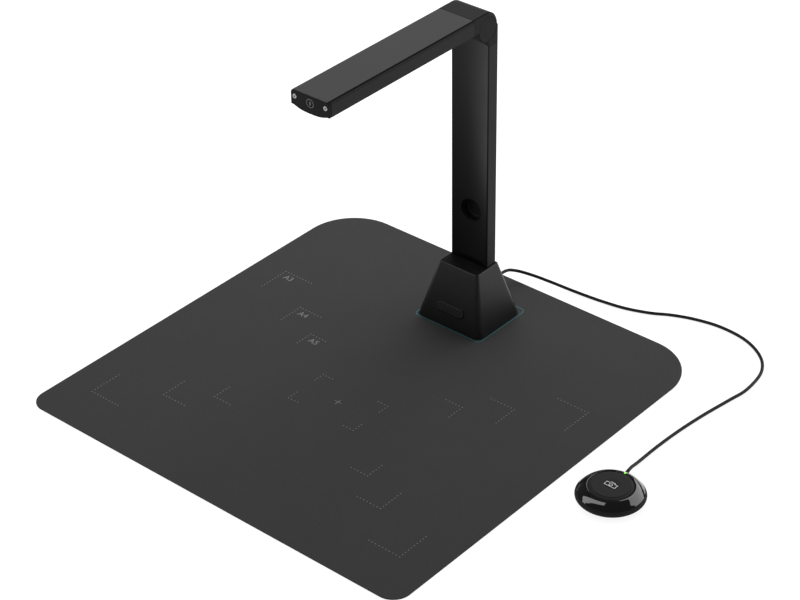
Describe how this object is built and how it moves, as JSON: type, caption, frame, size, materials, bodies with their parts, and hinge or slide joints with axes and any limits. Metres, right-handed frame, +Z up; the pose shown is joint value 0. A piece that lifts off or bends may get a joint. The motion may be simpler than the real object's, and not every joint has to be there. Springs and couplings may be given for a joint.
{
  "type": "document camera",
  "caption": "Folding document camera: level arm with a camera and light on a post with a weighted pyramid base, standing on a square scanning mat, with a wired round hand button.",
  "frame": {"origin": "on the desk under the scanning mat, halfway between its near and far edges, in the stand's plane of symmetry (the mat's middle is 1.7 mm to the right)", "axes": "+Z up, +Y away from the user towards the stand, +X to the user's right"},
  "size_m": [0.5937, 0.5682, 0.3707],
  "materials": {
    "mat_rubber": "matte fine-grained",
    "base_satin": "satin black",
    "anodised_dark": "dark grey fine-blasted anodised",
    "anodised_panel": "dark grey fine-blasted anodised",
    "top_plate_grey": "mid grey satin",
    "black_plastic": "matte black",
    "hinge_plastic": "satin dark grey",
    "pocket_black": "matte black",
    "badge_dark": "satin black, blank",
    "steel": "plain steel",
    "bright_screw": "bright nickel",
    "rubber": "matte black",
    "circuit_board": "solder-mask green",
    "sensor_black": "matte black",
    "lens_glass": "coated glass",
    "diffuser_white": "opal white",
    "light_grey_print": "light grey",
    "piano_black": "high gloss black",
    "matte_black": "matte black",
    "silver_icon": "satin silver",
    "led_green": "green indicator",
    "cord_black": "satin black"
  },
  "bodies": {
    "stand": {"scan_mat": "mat_rubber", "base_housing": "base_satin", "base_badge": "badge_dark", "base_bottom_plate": "steel", "base_foot_front_left": "rubber", "base_foot_rear_left": "rubber", "base_foot_front_right": "rubber", "base_foot_rear_right": "rubber", "base_screw_front": "steel", "base_screw_rear": "steel", "base_weight": "steel", "post_foot_bracket": "steel", "base_board": "circuit_board", "usb_a_port": "steel", "usb_c_inlet": "steel", "post_channel": "anodised_dark", "post_front_panel": "anodised_panel", "lens_pocket_cup": "pocket_black", "post_hinge_bracket": "hinge_plastic", "hinge_cap_left": "hinge_plastic", "friction_washer_left": "steel", "hinge_cap_right": "hinge_plastic", "friction_washer_right": "steel", "hinge_pin": "steel", "hinge_nut": "steel", "puck_foot_pad": "rubber", "puck_base": "matte_black", "puck_cord_relief": "cord_black", "puck_upper_shell": "piano_black", "puck_led": "led_green", "puck_board": "circuit_board", "puck_board_spacer": "matte_black", "puck_switch": "sensor_black", "puck_spring": "steel", "usb_plug_shell": "steel", "usb_plug_body": "cord_black", "usb_plug_relief": "cord_black", "button_cord": "cord_black"},
    "arm": {"arm_channel": "anodised_dark", "arm_top_plate": "top_plate_grey", "arm_bottom_cover": "black_plastic", "arm_end_cap": "black_plastic", "end_cap_screw_left": "bright_screw", "end_cap_screw_right": "bright_screw", "touch_light_ring": "light_grey_print", "touch_light_symbol": "light_grey_print", "arm_rear_cover": "hinge_plastic", "arm_hinge_lug": "steel", "lens_barrel": "sensor_black", "lens_glass": "lens_glass", "image_sensor": "sensor_black", "camera_board": "circuit_board", "led_board": "circuit_board", "led_diffuser": "diffuser_white", "touch_sensor_board": "circuit_board"},
    "hand_button": {"puck_button": "matte_black", "puck_icon": "silver_icon", "puck_icon_lens": "silver_icon"}
  },
  "joints": [
    {"name": "arm_fold", "type": "hinge", "parent": "stand", "child": "arm", "pos_m": [0, 0.1655, 0.3535], "axis": [1, 0, 0], "range_deg": [0, 90]},
    {"name": "button_press", "type": "slide", "parent": "stand", "child": "hand_button", "axis": [0, 0, -1], "range_m": [0, 0.0012], "stiffness_N_per_m": 1500, "springref_m": -0.0004, "deforming": ["puck_spring"]}
  ]
}
